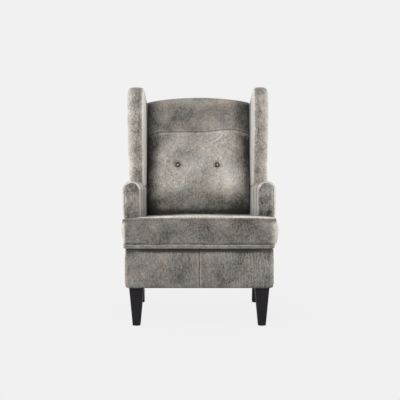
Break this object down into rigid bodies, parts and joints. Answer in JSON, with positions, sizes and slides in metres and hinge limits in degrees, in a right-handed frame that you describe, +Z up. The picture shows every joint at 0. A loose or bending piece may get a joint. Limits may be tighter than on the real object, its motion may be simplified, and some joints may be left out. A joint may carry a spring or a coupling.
{
  "type": "upholstered wing armchair",
  "caption": "Upholstered occasional wing chair with a tufted back, slim rolled arms, a loose T-shaped seat cushion, a sewn front border and short tapered wooden legs.",
  "frame": {"origin": "on the floor under the middle of the chair", "axes": "+X to the right as one faces the chair, +Y from the front to the back, +Z up"},
  "size_m": [0.688, 0.747, 1.09],
  "materials": {
    "velvet": "mottled short-pile velvet",
    "padding": "foam and wadding",
    "dark_wood": "dark stain, satin lacquer",
    "frame_wood": "sawn hardwood",
    "webbing": "woven",
    "lining": "thin woven lining",
    "zip_tape": "woven tape with coil teeth",
    "zip_metal": "satin",
    "spring_steel": "bright wire and plated fixings",
    "clip_plastic": "moulded",
    "glide_plastic": "moulded"
  },
  "bodies": {
    "chair_frame": {"arm_cover_left": "velvet", "arm_cover_right": "velvet", "arm_facing_left": "velvet", "arm_facing_right": "velvet", "arm_pad_left": "padding", "arm_pad_right": "padding", "arm_post_left": "frame_wood", "arm_post_right": "frame_wood", "arm_rail_left": "frame_wood", "arm_rail_right": "frame_wood", "back_cover": "velvet", "back_foam": "padding", "back_post_left": "frame_wood", "back_post_right": "frame_wood", "back_seat_rail": "frame_wood", "back_top_rail": "frame_wood", "back_webbing": "webbing", "dust_cover": "lining", "front_border_left": "velvet", "front_border_right": "velvet", "front_corner_blocks": "frame_wood", "front_leg_left": "dark_wood", "front_leg_right": "dark_wood", "front_seat_rail": "frame_wood", "headrest_cover": "velvet", "leg_bolts": "spring_steel", "leg_glides": "glide_plastic", "leg_inserts": "spring_steel", "outside_arm_panel_left": "velvet", "outside_arm_panel_right": "velvet", "outside_back": "velvet", "outside_wing_panel_left": "velvet", "outside_wing_panel_right": "velvet", "rear_corner_blocks": "frame_wood", "rear_leg_left": "dark_wood", "rear_leg_right": "dark_wood", "seat_deck": "padding", "seat_springs": "spring_steel", "side_seat_rail_left": "frame_wood", "side_seat_rail_right": "frame_wood", "spring_clips": "clip_plastic", "tuck_rail": "frame_wood", "tuft_buttons": "velvet", "tuft_twine": "webbing", "tuft_washers": "spring_steel", "wing_board_left": "frame_wood", "wing_board_right": "frame_wood", "wing_cover_left": "velvet", "wing_cover_right": "velvet", "wing_pad_left": "padding", "wing_pad_right": "padding"},
    "seat_cushion": {"cushion_foam": "padding", "cushion_top_panel": "velvet", "cushion_boxing": "velvet", "cushion_bottom_panel": "velvet", "cushion_welt_top": "velvet", "cushion_welt_bottom": "velvet", "cushion_zip": "zip_tape"},
    "zip_runner": {"zip_slider": "zip_metal", "zip_pull": "zip_metal"}
  },
  "joints": [
    {"name": "cushion_lift", "type": "slide", "parent": "chair_frame", "child": "seat_cushion", "axis": [0, 0, 1], "range_m": [0, 0.8]},
    {"name": "zip_slide", "type": "slide", "parent": "seat_cushion", "child": "zip_runner", "axis": [1, 0, 0], "range_m": [0, 0.41]}
  ]
}
